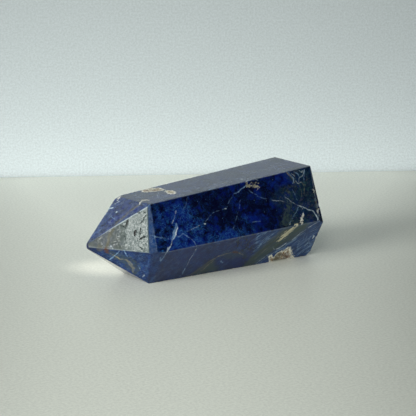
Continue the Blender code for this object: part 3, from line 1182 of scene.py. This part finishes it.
def remap(value, low, high, to_low=0.0, to_high=1.0):
    """A value's range turned smoothly into another range."""
    inputs = {"Value": value, "From Min": low, "From Max": high, "To Min": to_low, "To Max": to_high}
    return put(value.tree, "ShaderNodeMapRange", inputs, "Result", interpolation_type="SMOOTHSTEP")


def cloud(place, scale, detail=3.0, roughness=0.55, distortion=0.0):
    """Noise in a place, 0 to 1."""
    inputs = {"Vector": place, "Scale": scale, "Detail": detail, "Roughness": roughness}
    inputs["Distortion"] = distortion
    return put(place.tree, "ShaderNodeTexNoise", inputs, "Fac", noise_dimensions="3D")


def bumped(height, strength, distance):
    """The surface's direction on a rough ground of some height."""
    inputs = {"Strength": strength, "Distance": distance, "Height": height}
    return put(height.tree, "ShaderNodeBump", inputs, "Normal")


def group_tree(name, gets, gives):
    """A node group with named sockets of some kinds: its tree, what it gets, and where its results go."""
    tree = bpy.data.node_groups.new(name, "ShaderNodeTree")
    for direction, sockets in (("INPUT", gets), ("OUTPUT", gives)):
        for kind, names in sockets.items():
            for socket in names:
                tree.interface.new_socket(socket, in_out=direction, socket_type=kind)
    given = {socket.name: Signal(socket) for socket in tree.nodes.new("NodeGroupInput").outputs}
    return tree, given, tree.nodes.new("NodeGroupOutput").inputs


def use(group, inputs):
    """Place a group in the tree of its inputs."""
    return put(tree_among(inputs.values()), "ShaderNodeGroup", inputs, node_tree=group)


def new_material(name):
    """An empty material, its node tree and its shader's inputs."""
    material = bpy.data.materials.new(name)
    material.use_nodes = True
    return material, material.node_tree, material.node_tree.nodes["Principled BSDF"].inputs


# Effects


FLOW_DIRECTION = (-0.770, 0.319, -0.555)
FLOW_SQUEEZE = 0.82  # 0 leaves the noise round, towards 1 draws it out

NIGHT_BLUE = (0.0004, 0.0012, 0.017, 1.0)
ROYAL_BLUE = (0.0005, 0.0065, 0.132, 1.0)
MILKY_BLUE = (0.008, 0.050, 0.185, 1.0)
SLATE_BLUE = (0.003, 0.015, 0.082, 1.0)
MISTY_GREY = (0.085, 0.118, 0.205, 1.0)
HAZE_BLUE = (0.0012, 0.017, 0.155, 1.0)
SKY_BLUE = (0.014, 0.085, 0.260, 1.0)
THREAD_BLUE = (0.050, 0.190, 0.440, 1.0)
DEEP_TEAL = (0.0030, 0.0130, 0.038, 1.0)
GREEN_GREY = (0.012, 0.042, 0.054, 1.0)
OLIVE = (0.055, 0.072, 0.050, 1.0)
STREAK_GREEN = (0.050, 0.082, 0.070, 1.0)
MOSS = (0.038, 0.060, 0.058, 1.0)
SILVER = (0.045, 0.070, 0.072, 1.0)
DULL_OLIVE = (0.052, 0.064, 0.058, 1.0)
TAN = (0.300, 0.270, 0.170, 1.0)
OCHRE = (0.088, 0.082, 0.050, 1.0)
HONEY = (0.420, 0.280, 0.120, 1.0)
BROWN = (0.170, 0.085, 0.030, 1.0)
VEIN_WHITE = (0.62, 0.73, 0.80, 1.0)
VEIN_BLUE = (0.200, 0.340, 0.540, 1.0)
CREAM = (0.92, 0.90, 0.79, 1.0)
STRAND_CREAM = (0.60, 0.56, 0.38, 1.0)
RUST = (0.080, 0.030, 0.012, 1.0)
SCAR = (0.006, 0.005, 0.006, 1.0)
# Pale hairs in the misty tint, and the painted highlight along the ridges
PALE_HAIR_AND_RIDGE_HIGHLIGHT = (0.36, 0.42, 0.46, 1.0)


def marking_mask_group():
    """How much a marking covers: its distance field made ragged by noise, and broken along its length."""
    values = ["Inside", "Strength", "Ragged", "Ragged Scale", "Softness", "Grow", "Broken"]
    tree, given, result = group_tree("marking_mask", {PLACE: ["Place"], VALUE: values}, {VALUE: ["Mask"]})
    wave = (cloud(given["Place"], given["Ragged Scale"]) - 0.5) * given["Ragged"]
    inside = given["Inside"] + wave + given["Grow"]
    softness = given["Softness"]
    cover = remap(inside, softness * -1.0, softness) * given["Strength"]
    gaps = remap(cloud(given["Place"], 1.3, detail=2.0), 0.60, 0.38)
    join(cover * (1.0 - gaps * given["Broken"]), result["Mask"])
    return tree


def wisp_group():
    """Thin curling lines where a warped noise passes its middle, in drifts."""
    values = ["Scale", "Width", "Curl"]
    tree, given, result = group_tree("wisps", {PLACE: ["Place"], VALUE: values}, {VALUE: ["Mask"]})
    place = given["Place"]
    wave = cloud(place, given["Scale"], detail=3.0, roughness=0.6, distortion=given["Curl"])
    line = remap(calculate("ABSOLUTE", wave - 0.5), given["Width"], 0.0)
    drift = remap(cloud(place, given["Scale"] * 0.8, detail=2.0), 0.42, 0.60)
    join(line * drift, result["Mask"])
    return tree


def speck_group():
    """Scattered round specks, only in some of the cells of a cell pattern."""
    values = ["Scale", "Size", "Share"]
    tree, given, result = group_tree("specks", {PLACE: ["Place"], VALUE: values}, {VALUE: ["Mask"]})
    cells = {"Vector": given["Place"], "Scale": given["Scale"]}
    distance = put(tree, "ShaderNodeTexVoronoi", cells, "Distance")
    dot = remap(distance, given["Size"], 0.0)
    chance = put(tree, "ShaderNodeSeparateColor", {"Color": distance.beside("Color")}, "Red")
    join(dot * calculate("LESS_THAN", chance, given["Share"]), result["Mask"])
    return tree


def along(place, direction):
    """How far a place lies in a direction."""
    return reckon("DOT_PRODUCT", {0: place, 1: tuple(direction)}, "Value")


def flow_group():
    """A place squeezed along the flow of the stone, so that noise in it draws out into streaks."""
    tree, given, result = group_tree("flow", {PLACE: ["Place"]}, {PLACE: ["Place"]})
    place = given["Place"]
    squeeze = along(place, FLOW_DIRECTION) * FLOW_SQUEEZE
    part = reckon("SCALE", {"Vector": FLOW_DIRECTION, "Scale": squeeze})
    join(reckon("SUBTRACT", {0: place, 1: part}), result["Place"])
    return tree


def wisp(wisps, place, scale, width, curl):
    """Curling lines of one size in a place."""
    return use(wisps, {"Place": place, "Scale": scale, "Width": width, "Curl": curl})


def blue_ground_group(wisps, specks):
    """The mottled blue of the stone."""
    tree, given, result = group_tree(
        "blue_ground",
        {PLACE: ["Place", "Flow Place"], VALUE: ["Light", "Dark", "Milky"]},
        {COLOUR: ["Colour"], VALUE: ["Hair"]},
    )
    place = given["Place"]
    light = given["Light"]
    milky = given["Milky"]
    broad = cloud(place, 0.14, detail=2.0)
    medium = cloud(place, 0.60, detail=4.0, roughness=0.62, distortion=0.5)
    fine = cloud(place, 2.4, detail=3.0, roughness=0.65)
    tone = broad * 0.4 + medium * 0.6 + light * 0.05 - given["Dark"] * 0.07
    colour = blend(remap(tone, 0.43, 0.66), NIGHT_BLUE, ROYAL_BLUE)
    cloudy = remap(medium + fine, 0.80, 1.18, 0.55, 1.0)
    colour = blend(milky * cloudy, colour, MILKY_BLUE)
    grains = remap(fine * 0.6 + tone * 0.7, 0.69, 0.90, 0.0, 0.70)
    colour = blend(grains, colour, HAZE_BLUE)

    hair = wisp(wisps, place, scale=0.42, width=0.036, curl=1.6)
    down = wisp(wisps, place, scale=1.10, width=0.090, curl=1.0)
    drawn = wisp(wisps, given["Flow Place"], scale=1.0, width=0.060, curl=0.4)
    thread = wisp(wisps, place, scale=0.75, width=0.030, curl=2.6)
    haze = capped(hair * 0.75 + down * 0.36, light + 0.22)
    colour = blend(haze, colour, SKY_BLUE)
    colour = blend(thread * (light * 0.8 + 0.10), colour, THREAD_BLUE)
    colour = blend(drawn * (milky * 0.75), colour, VEIN_BLUE)
    speck = use(specks, {"Place": place, "Scale": 0.80, "Size": 0.12, "Share": 0.28})
    join(blend(speck * 0.55, colour, VEIN_BLUE), result["Colour"])
    join(hair, result["Hair"])
    return tree


def green_zone_group(wisps):
    """Swirled green-grey and olive stone with dark hollows and tan threads."""
    tree, given, result = group_tree("green_zone", {PLACE: ["Place"]}, {COLOUR: ["Colour"]})
    place = given["Place"]
    swirl = cloud(place, 0.45, detail=4.0, roughness=0.65, distortion=1.6)
    fine = cloud(place, 1.9, detail=3.0, roughness=0.65, distortion=0.5)
    tone = swirl * 0.6 + fine * 0.4
    colour = blend(remap(tone, 0.44, 0.62), DEEP_TEAL, GREEN_GREY)
    colour = blend(remap(tone, 0.58, 0.72, 0.0, 0.6), colour, OLIVE)
    thread = wisp(wisps, place, scale=0.50, width=0.050, curl=2.0)
    join(blend(thread * 0.18, colour, TAN), result["Colour"])
    return tree


def cream_group():
    """Cream stone stained honey and brown in patches."""
    gets = {PLACE: ["Place"], VALUE: ["Inside"]}
    tree, given, result = group_tree("cream_stone", gets, {COLOUR: ["Colour"]})
    stain = cloud(given["Place"], 1.1, detail=4.0, roughness=0.65, distortion=0.6)
    deep = remap(given["Inside"], 0.15, 0.80)
    colour = blend(remap(stain, 0.42, 0.54) * deep, CREAM, HONEY)
    colour = blend(remap(stain, 0.48, 0.62) * deep, colour, BROWN)
    rim = remap(given["Inside"], 0.25, 0.00, 0.0, 0.25)
    join(blend(rim, colour, OCHRE), result["Colour"])
    return tree


# The finish of the stone


class Look(NamedTuple):
    """How a kind of marking is drawn: raggedness, scale of the rags, softness, growth in mm, gaps."""

    ragged: float
    scale: float
    softness: float
    grow: float
    broken: float


LOOKS = {
    "ochre": Look(0.60, 1.8, 0.22, 0.0, 0.3),
    "tan": Look(0.45, 2.2, 0.16, 0.0, 0.5),
    "cream": Look(2.20, 2.0, 0.10, 0.05, 0.30),
    "strand": Look(5.00, 1.9, 0.16, -0.10, 0.40),
    "blue": Look(0.26, 2.4, 0.11, 0.02, 0.50),
    "white": Look(0.22, 2.8, 0.08, 0.0, 0.40),
    "rust": Look(0.60, 1.6, 0.35, 0.0, 0.3),
    "scar": Look(0.40, 2.6, 0.07, -0.02, 0.35),
    "dark": Look(3.00, 0.5, 1.60, 0.0, 0.0),
    "light": Look(3.00, 0.5, 1.60, 0.0, 0.0),
    "milky": Look(2.00, 0.5, 1.20, 0.0, 0.0),
    "misty": Look(1.50, 0.5, 0.60, 0.0, 0.0),
    "green": Look(5.00, 0.5, 1.80, 0.0, 0.35),
    "moss": Look(3.60, 1.3, 0.45, 0.20, 0.3),
    "streak": Look(3.00, 0.8, 1.10, 0.0, 0.2),
    "silver": Look(4.00, 0.5, 2.00, 0.5, 0.0),
    "even": Look(1.00, 0.5, 0.60, 0.0, 0.0),
    "dull": Look(4.00, 0.5, 2.00, 0.5, 0.0),
}
DRAWN_OUT = ("streak", "strand")  # the kinds that follow the flow
VEIN_COLOURS = {
    "ochre": OCHRE,
    "tan": TAN,
    "strand": STRAND_CREAM,
    "blue": VEIN_BLUE,
    "white": VEIN_WHITE,
    "rust": RUST,
    "scar": SCAR,
}
HALO_GROWTH = 0.45  # mm
HALO_SHARE = 0.22
MISTY_HAIR_SHARE = 0.45
MOSS_SHARE = 0.75
STREAK_SHARE = 0.55
DULL_SHARE = 0.8
FRESH_SHARE = 0.15
STONE_IOR = 1.48
ADDED_ROUGHNESS = {"cream": 0.22, "tan": 0.12, "ochre": 0.20, "scar": 0.45, "ridge_highlight": 0.30, "fresh": 0.30}
SCAR_DEPTH = 5.0  # against the height of the polish's own waves
POLISH_BUMP = 0.40
POLISH_WAVE = 0.02 * MM


def attribute(tree, name):
    """A value that the stone's points carry."""
    return put(tree, "ShaderNodeAttribute", out="Fac", attribute_name=name)


def place_in_mm(tree):
    """Where a point lies on its object, in mm."""
    place = put(tree, "ShaderNodeTexCoord", out="Object")
    return reckon("SCALE", {"Vector": place, "Scale": 1.0 / MM})


def marking_cover(mask, place, kind, grow=0.0):
    """Where a kind of marking shows."""
    look = LOOKS[kind]
    inputs = {
        "Inside": attribute(place.tree, kind),
        "Strength": attribute(place.tree, kind + "_strength"),
        "Place": place,
        "Ragged": look.ragged,
        "Ragged Scale": look.scale,
        "Softness": look.softness + grow,
        "Grow": look.grow + grow / 2,
        "Broken": look.broken,
    }
    return use(mask, inputs)


def stone_roughness(place, covers):
    """How rough the polish is: uneven everywhere, duller on the worn and the broken parts and along the
    ridges with painted highlight.
    """
    polish = cloud(place, 1.7, detail=4.0, roughness=0.75, distortion=0.8)
    rough = remap(polish, 0.36, 0.66, 0.06, 0.17)
    rough += covers["dull"] * remap(polish, 0.36, 0.56, 0.06, 0.50)
    rough += covers["silver"] * remap(polish, 0.38, 0.60, 0.05, 0.22)
    for kind, more in ADDED_ROUGHNESS.items():
        rough += covers[kind] * more
    return rough


def stone_height(place, covers):
    """The low waves that polishing left, and the scars in them."""
    swell = cloud(place, 0.9, detail=3.0, roughness=0.55, distortion=0.8)
    broad = cloud(place, 0.26, detail=2.0) * 3.0
    return swell + broad - covers["scar"] * SCAR_DEPTH


def sodalite_finish():
    """Deep blue polished sodalite: mottled blue ground, hazy wisps, veins, blotches and chips."""
    material, tree, shader = new_material("polished_sodalite")
    mask = marking_mask_group()
    wisps = wisp_group()
    place = place_in_mm(tree)
    flow_place = use(flow_group(), {"Place": place})
    covers = {}
    for kind in LOOKS:
        covers[kind] = marking_cover(mask, flow_place if kind in DRAWN_OUT else place, kind)
    inputs = {"Place": place, "Flow Place": flow_place}
    inputs.update({kind.title(): covers[kind] for kind in ("light", "dark", "milky")})
    ground = use(blue_ground_group(wisps, speck_group()), inputs)
    colour = blend(covers["even"], ground, SLATE_BLUE)
    mottle = remap(cloud(place, 0.7, detail=6.0, roughness=0.75), 0.36, 0.62, 0.05, 1.30)
    colour = blend(capped(covers["misty"], mottle), colour, MISTY_GREY)
    misty_hair = ground.beside("Hair") * covers["misty"] * MISTY_HAIR_SHARE
    colour = blend(misty_hair, colour, PALE_HAIR_AND_RIDGE_HIGHLIGHT)

    zone = green_zone_group(wisps)
    colour = blend(covers["green"], colour, use(zone, {"Place": place}))
    colour = blend(covers["moss"] * MOSS_SHARE, colour, MOSS)
    streaked = blend(STREAK_SHARE, use(zone, {"Place": flow_place}), STREAK_GREEN)
    colour = blend(covers["streak"], colour, streaked)
    colour = blend(covers["silver"], colour, SILVER)
    colour = blend(covers["dull"] * DULL_SHARE, colour, DULL_OLIVE)

    # The painted highlight along the ridges, broken into patches
    patchy = cloud(place, 0.9, detail=4.0, roughness=0.7) * 2.0
    covers["ridge_highlight"] = capped(attribute(tree, "ridge_highlight"), patchy)
    colour = blend(covers["ridge_highlight"], colour, PALE_HAIR_AND_RIDGE_HIGHLIGHT)
    halo = marking_cover(mask, place, "white", HALO_GROWTH) * HALO_SHARE
    colour = blend(halo, colour, SKY_BLUE)
    cream = use(cream_group(), {"Place": place, "Inside": attribute(tree, "cream")})
    colour = blend(covers["cream"], colour, cream)
    for kind, vein_colour in VEIN_COLOURS.items():
        colour = blend(covers[kind], colour, vein_colour)
    covers["fresh"] = attribute(tree, "fresh")
    colour = blend(covers["fresh"] * FRESH_SHARE, colour, VEIN_BLUE)

    join(colour, shader["Base Color"])
    join(STONE_IOR, shader["IOR"])
    join(stone_roughness(place, covers), shader["Roughness"])
    join(bumped(stone_height(place, covers), POLISH_BUMP, POLISH_WAVE), shader["Normal"])
    return material


# The stage


WALL_PLACE = 0.1243  # m behind the stone's middle, along the view
WALL_TURN = 6.4  # degrees that the wall is turned away on the right
WALL_SIZE = 3.0
FLOOR_SIZE = 4.0
PAPER_GRAIN = 0.82  # tone of the paper's darkest grain
PAPER_GRAIN_SCALE = 1500.0  # per m
PAPER_TOOTH_SCALE = 620.0  # per m
PAPER_TOOTH = 0.15 * MM
PAPER_BUMP = 0.30
FLOOR_COLOUR = (0.686, 0.697, 0.640)
WALL_COLOUR = (0.804, 0.874, 0.914)
# Painted light on the table: even, then per m away and to the right, then per square m away and to the right
FLOOR_PAINTED_LIGHT = (1.34, 3.39, 0.40, 11.8, -120.6)
FLOOR_PAINTED_LIGHT_LIMITS = (0.85, 1.36)
# Painted light and shade on the wall: even, three shares that fade with height, per m across, per square m
# across and up
WALL_PAINTED_LIGHT = (0.605, 0.35, -0.13, -0.16, 0.44, -7.6, -18.0)
WALL_FADE_HEIGHTS = (0.027, 0.005, 0.0008)  # m
WALL_PAINTED_LIGHT_LIMITS = (0.45, 1.05)
CREASE_SHADE = 0.22  # painted shade: how much darker the table is at the wall
CREASE_REACH = 0.0025  # m
FLOOR_ROUGHNESS = 0.45
WALL_ROUGHNESS = 0.80


def plain_plane(name, size, material):
    """A flat square, face up."""
    shape = bmesh.new()
    bmesh.ops.create_grid(shape, x_segments=1, y_segments=1, size=size / 2)
    plane = link(name, mesh_from(shape, name))
    plane.data.materials.append(material)
    return plane


def paper_finish(name, colour, roughness, painted_light):
    """Matt paper with a faint grain, and light and shade painted on by its place on the sheet."""
    material, tree, shader = new_material(name)
    place = put(tree, "ShaderNodeTexCoord", out="Object")
    grained = remap(cloud(place, PAPER_GRAIN_SCALE, detail=3.0, roughness=0.7), 0.3, 0.7)
    darker = (*(channel * PAPER_GRAIN for channel in colour), 1.0)
    paper = blend(grained, darker, (*colour, 1.0))
    join(reckon("SCALE", {"Vector": paper, "Scale": painted_light(place)}), shader["Base Color"])
    join(roughness, shader["Roughness"])
    tooth = cloud(place, PAPER_TOOTH_SCALE, detail=4.0, roughness=0.6)
    join(bumped(tooth, PAPER_BUMP, PAPER_TOOTH), shader["Normal"])
    return material


def held(value, limits):
    """A value held between limits."""
    return put(value.tree, "ShaderNodeClamp", {"Value": value, "Min": limits[0], "Max": limits[1]}, "Result")


def weighed(values, shares):
    """The sum of values, each times its share, after a first share that is even."""
    total = shares[0]
    for value, share in zip(values, shares[1:]):
        total = value * share + total
    return total


def faded(distance, reach):
    """1 at no distance, falling off with a reach."""
    return calculate("EXPONENT", distance * (-1.0 / reach))


def painted_table_light(place):
    """Painted light on the table: lightest in the middle and away from the camera, with painted shade darkest
    at the wall.
    """
    away, right = (along(place, direction) for direction in view_directions())
    tone = weighed((away, right, away * away, right * right), FLOOR_PAINTED_LIGHT)
    to_wall = WALL_PLACE - (away - right * tan(radians(WALL_TURN)))
    return held(tone - faded(to_wall, CREASE_REACH) * CREASE_SHADE, FLOOR_PAINTED_LIGHT_LIMITS)


def painted_wall_light(place):
    """Painted light and shade on the wall: darker higher up and to the sides, with painted shade in the
    crease at its foot.
    """
    across = put(place.tree, "ShaderNodeSeparateXYZ", {"Vector": place}, "X")
    height = across.beside("Y") + WALL_SIZE / 2
    fades = [faded(height, reach) for reach in WALL_FADE_HEIGHTS]
    return held(weighed((*fades, across, across * across, height * height), WALL_PAINTED_LIGHT), WALL_PAINTED_LIGHT_LIMITS)


def clear_from_behind(material):
    """Let the view pass through the back of a sheet."""
    tree = material.node_tree
    behind = put(tree, "ShaderNodeNewGeometry", out="Backfacing")
    clear = put(tree, "ShaderNodeBsdfTransparent")
    paper = Signal(tree.nodes["Principled BSDF"].outputs["BSDF"])
    mixed = put(tree, "ShaderNodeMixShader", {0: behind, 1: paper, 2: clear})
    join(mixed, tree.nodes["Material Output"].inputs["Surface"])


def view_directions():
    """The level directions away from the camera and to its right."""
    yaw = radians(CAMERA_YAW)
    return Vector((-sin(yaw), cos(yaw), 0.0)), Vector((cos(yaw), sin(yaw), 0.0))


def lay_stage():
    """The pale table and the pale wall behind it."""
    table_paper = paper_finish("table_paper", FLOOR_COLOUR, FLOOR_ROUGHNESS, painted_table_light)
    wall_paper = paper_finish("wall_paper", WALL_COLOUR, WALL_ROUGHNESS, painted_wall_light)
    clear_from_behind(wall_paper)
    floor = plain_plane("table", FLOOR_SIZE, table_paper)
    wall = plain_plane("wall", WALL_SIZE, wall_paper)
    away, _ = view_directions()
    facing = Matrix.Rotation(radians(WALL_TURN), 3, "Z") @ -away
    foot = away * WALL_PLACE
    middle = Matrix.Translation(foot + Vector((0.0, 0.0, WALL_SIZE / 2)))
    wall.matrix_world = middle @ facing.to_track_quat("Z", "Y").to_matrix().to_4x4()


# The light and the camera


LAMP_COLOUR = (0.97, 1.0, 0.955)
ROOM_DIM = (0.028, 0.029, 0.030, 1.0)  # what the polish mirrors
ROOM_FILL = (0.150, 0.157, 0.153, 1.0)  # what lights the shadows
ROOM_SEEN = (0.60, 0.63, 0.62, 1.0)
GLINT_SPOT = Vector((-18.0, 11.5, 0.0)) * MM
GLINT_COLOUR = (1.0, 0.96, 0.86)
GLINT_DIRECTION = (-0.60, 0.45, 0.60)
GLINT_DISTANCE = 0.35  # m
GLINT_POWER = 3.3  # W
GLINT_ANGLE = 3.4  # degrees
GLINT_SIZE = 0.003  # m
NEAREST_SEEN = 0.01  # m from the camera


class Softbox(NamedTuple):
    """A square soft light that faces the stone: its direction, distance and size in m, and power in W."""

    name: str
    direction: tuple
    distance: float
    size: float
    power: float


SOFTBOXES = [
    Softbox("window", (-0.605, -0.61, 0.513), 0.82, 0.21, 1.75),
    Softbox("left_softbox", (-1.336, -0.163, 0.60), 0.70, 0.35, 1.50),
    Softbox("low_softbox", (-1.336, -0.163, 0.35), 0.60, 0.30, 3.37),
]


def hang_lamp(name, kind, target, direction, distance, power, colour):
    """A lamp some way off in a direction, facing a target; gives back its data."""
    data = bpy.data.lights.new(name, kind)
    data.energy = power
    data.color = colour
    lamp = link(name, data)
    toward = Vector(direction).normalized()
    lamp.location = target + toward * distance
    lamp.rotation_mode = "QUATERNION"
    lamp.rotation_quaternion = toward.to_track_quat("Z", "Y")
    return data


def light_room():
    """A window behind the camera, two softboxes on the left, a glint on the table, and a dim room."""
    for box in SOFTBOXES:
        middle = Vector((0.0, 0.0, 0.0))
        data = hang_lamp(box.name, "AREA", middle, box.direction, box.distance, box.power, LAMP_COLOUR)
        data.shape = "SQUARE"
        data.size = box.size
    placing = (GLINT_SPOT, GLINT_DIRECTION, GLINT_DISTANCE)
    glint = hang_lamp("glint", "SPOT", *placing, GLINT_POWER, GLINT_COLOUR)
    glint.spot_size = radians(GLINT_ANGLE)
    glint.spot_blend = 1.0
    glint.shadow_soft_size = GLINT_SIZE
    world = bpy.data.worlds.new("room")
    bpy.context.scene.world = world
    world.use_nodes = True
    diffuse = put(world.node_tree, "ShaderNodeLightPath", out="Is Diffuse Ray")
    colour = blend(diffuse, ROOM_DIM, ROOM_FILL)
    seen = blend(diffuse.beside("Is Camera Ray"), colour, ROOM_SEEN)
    join(seen, world.node_tree.nodes["Background"].inputs["Color"])


def set_camera():
    """The camera as it stood."""
    yaw, pitch, roll = (radians(angle) for angle in (CAMERA_YAW, CAMERA_PITCH, CAMERA_ROLL))
    ahead = Vector((-sin(yaw) * cos(pitch), cos(yaw) * cos(pitch), -sin(pitch)))
    level = Vector((cos(yaw), sin(yaw), 0.0))
    rise = level.cross(ahead)
    side = level * cos(roll) + rise * sin(roll)
    up = rise * cos(roll) - level * sin(roll)
    data = bpy.data.cameras.new("camera")
    data.sensor_width = SENSOR_WIDTH
    data.lens = CAMERA_LENS
    data.clip_start = NEAREST_SEEN
    camera = link("camera", data)
    turned = Matrix((side, up, -ahead)).transposed()
    camera.matrix_world = Matrix.Translation(CAMERA_PLACE) @ turned.to_4x4()
    bpy.context.scene.camera = camera


def make_stone():
    """The finished stone, in place of the plain solid."""
    stone = stone_object()
    stone.data.materials.append(sodalite_finish())
    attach(stone, "root")
    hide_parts(NODE)


bpy.context.scene.view_settings.view_transform = "Standard"
set_camera()
lay_stage()
light_room()
make_stone()
